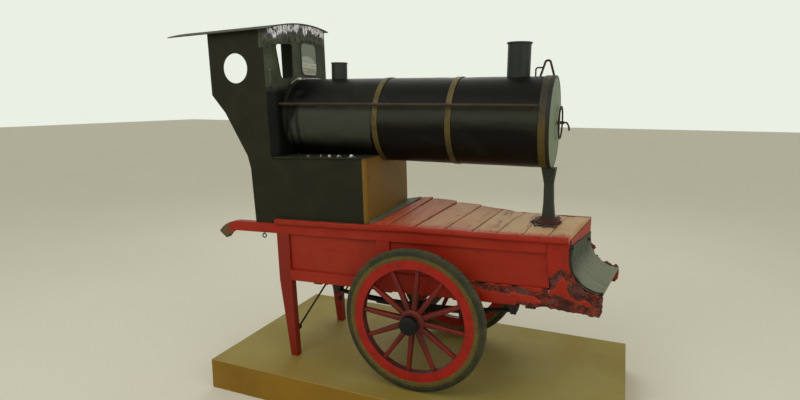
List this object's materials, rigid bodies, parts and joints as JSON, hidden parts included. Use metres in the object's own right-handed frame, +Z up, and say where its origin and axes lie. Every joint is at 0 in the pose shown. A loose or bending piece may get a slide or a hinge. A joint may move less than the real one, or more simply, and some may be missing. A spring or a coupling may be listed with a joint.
{
  "type": "handcart with a sheet-metal stove made up as a steam engine, on a plinth",
  "caption": "Sprung wooden handcart whose stove is shaped as a steam engine, with a cab, a firebox, a long drum and chimneys, parked on a low plinth.",
  "frame": {"origin": "on the floor under the middle of the axle", "axes": "+X to the cart's nose, +Y to its left, +Z up"},
  "size_m": [2.3836, 1.071, 1.9299],
  "materials": {
    "plinth_wood": "clear-varnished ply, worn",
    "red_wood": "red gloss paint, worn and chipped",
    "deck_wood": "faded pinkish red paint, warped",
    "inner_wood": "bare dirty wood",
    "black_sheet": "black paint, dusty, dented",
    "roof_sheet": "dark olive paint, dusty",
    "drum_sheet": "black gloss paint over dented sheet",
    "firebox_sheet": "brown heat-stained sheet",
    "grey_sheet": "dull grey-green paint, dusty",
    "brass_band": "tarnished",
    "ring_sheet": "black paint rubbed to ochre",
    "black_iron": "black paint, greasy",
    "rail_iron": "brown, lightly rusted",
    "red_wheel": "red paint, worn",
    "spoke_wood": "dark red paint, worn",
    "tyre_rubber": "dusty solid rubber",
    "pane_glass": "dusty"
  },
  "bodies": {
    "cart": {"axle": "black_iron", "base_strip": "grey_sheet", "bearers": "inner_wood", "cab_front": "black_sheet", "cab_handles": "black_iron", "cab_side_left": "black_sheet", "cab_side_right": "black_sheet", "cap_mouldings": "red_wood", "chimney_front": "black_sheet", "chimney_rear": "black_sheet", "column": "black_iron", "deck_planks": "deck_wood", "disc_handle": "rail_iron", "drum": "drum_sheet", "drum_bands": "brass_band", "drum_collar": "black_sheet", "firebox_back": "black_sheet", "firebox_front": "firebox_sheet", "firebox_shelf": "black_sheet", "floor_boards": "inner_wood", "front_board": "red_wood", "front_disc": "grey_sheet", "front_hooks": "black_iron", "front_ring": "ring_sheet", "handrail_left": "rail_iron", "handrail_right": "rail_iron", "hangers": "black_iron", "hearth_planks": "inner_wood", "leg_braces": "black_iron", "leg_left": "red_wood", "leg_right": "red_wood", "plinth": "plinth_wood", "roof": "roof_sheet", "scoop_sheet": "grey_sheet", "shaft_eyes": "black_iron", "shaft_left": "red_wood", "shaft_right": "red_wood", "side_frame_left": "red_wood", "side_frame_right": "red_wood", "side_panels": "red_wood", "spring_clamps": "black_iron", "spring_left": "black_iron", "spring_right": "black_iron", "tail_board": "red_wood", "window_pane": "pane_glass"},
    "wheel_right": {"nave_right": "red_wheel", "spokes_right": "spoke_wood", "felloe_right": "red_wheel", "tyre_right": "tyre_rubber", "hub_cap_right": "black_iron"},
    "wheel_left": {"nave_left": "red_wheel", "spokes_left": "spoke_wood", "felloe_left": "red_wheel", "tyre_left": "tyre_rubber", "hub_cap_left": "black_iron"},
    "fire_door": {"fire_door": "black_iron"}
  },
  "joints": [
    {"name": "wheel_right_spin", "type": "hinge", "parent": "cart", "child": "wheel_right", "pos_m": [0, -0.35, 0.51], "axis": [0, 1, 0], "continuous": true},
    {"name": "wheel_left_spin", "type": "hinge", "parent": "cart", "child": "wheel_left", "pos_m": [0, 0.35, 0.51], "axis": [0, 1, 0], "continuous": true},
    {"name": "fire_door_swing", "type": "hinge", "parent": "cart", "child": "fire_door", "pos_m": [-0.78816, -0.15, 1.07384], "axis": [-0.0349, 0, 0.9994], "range_deg": [0, 110]}
  ]
}
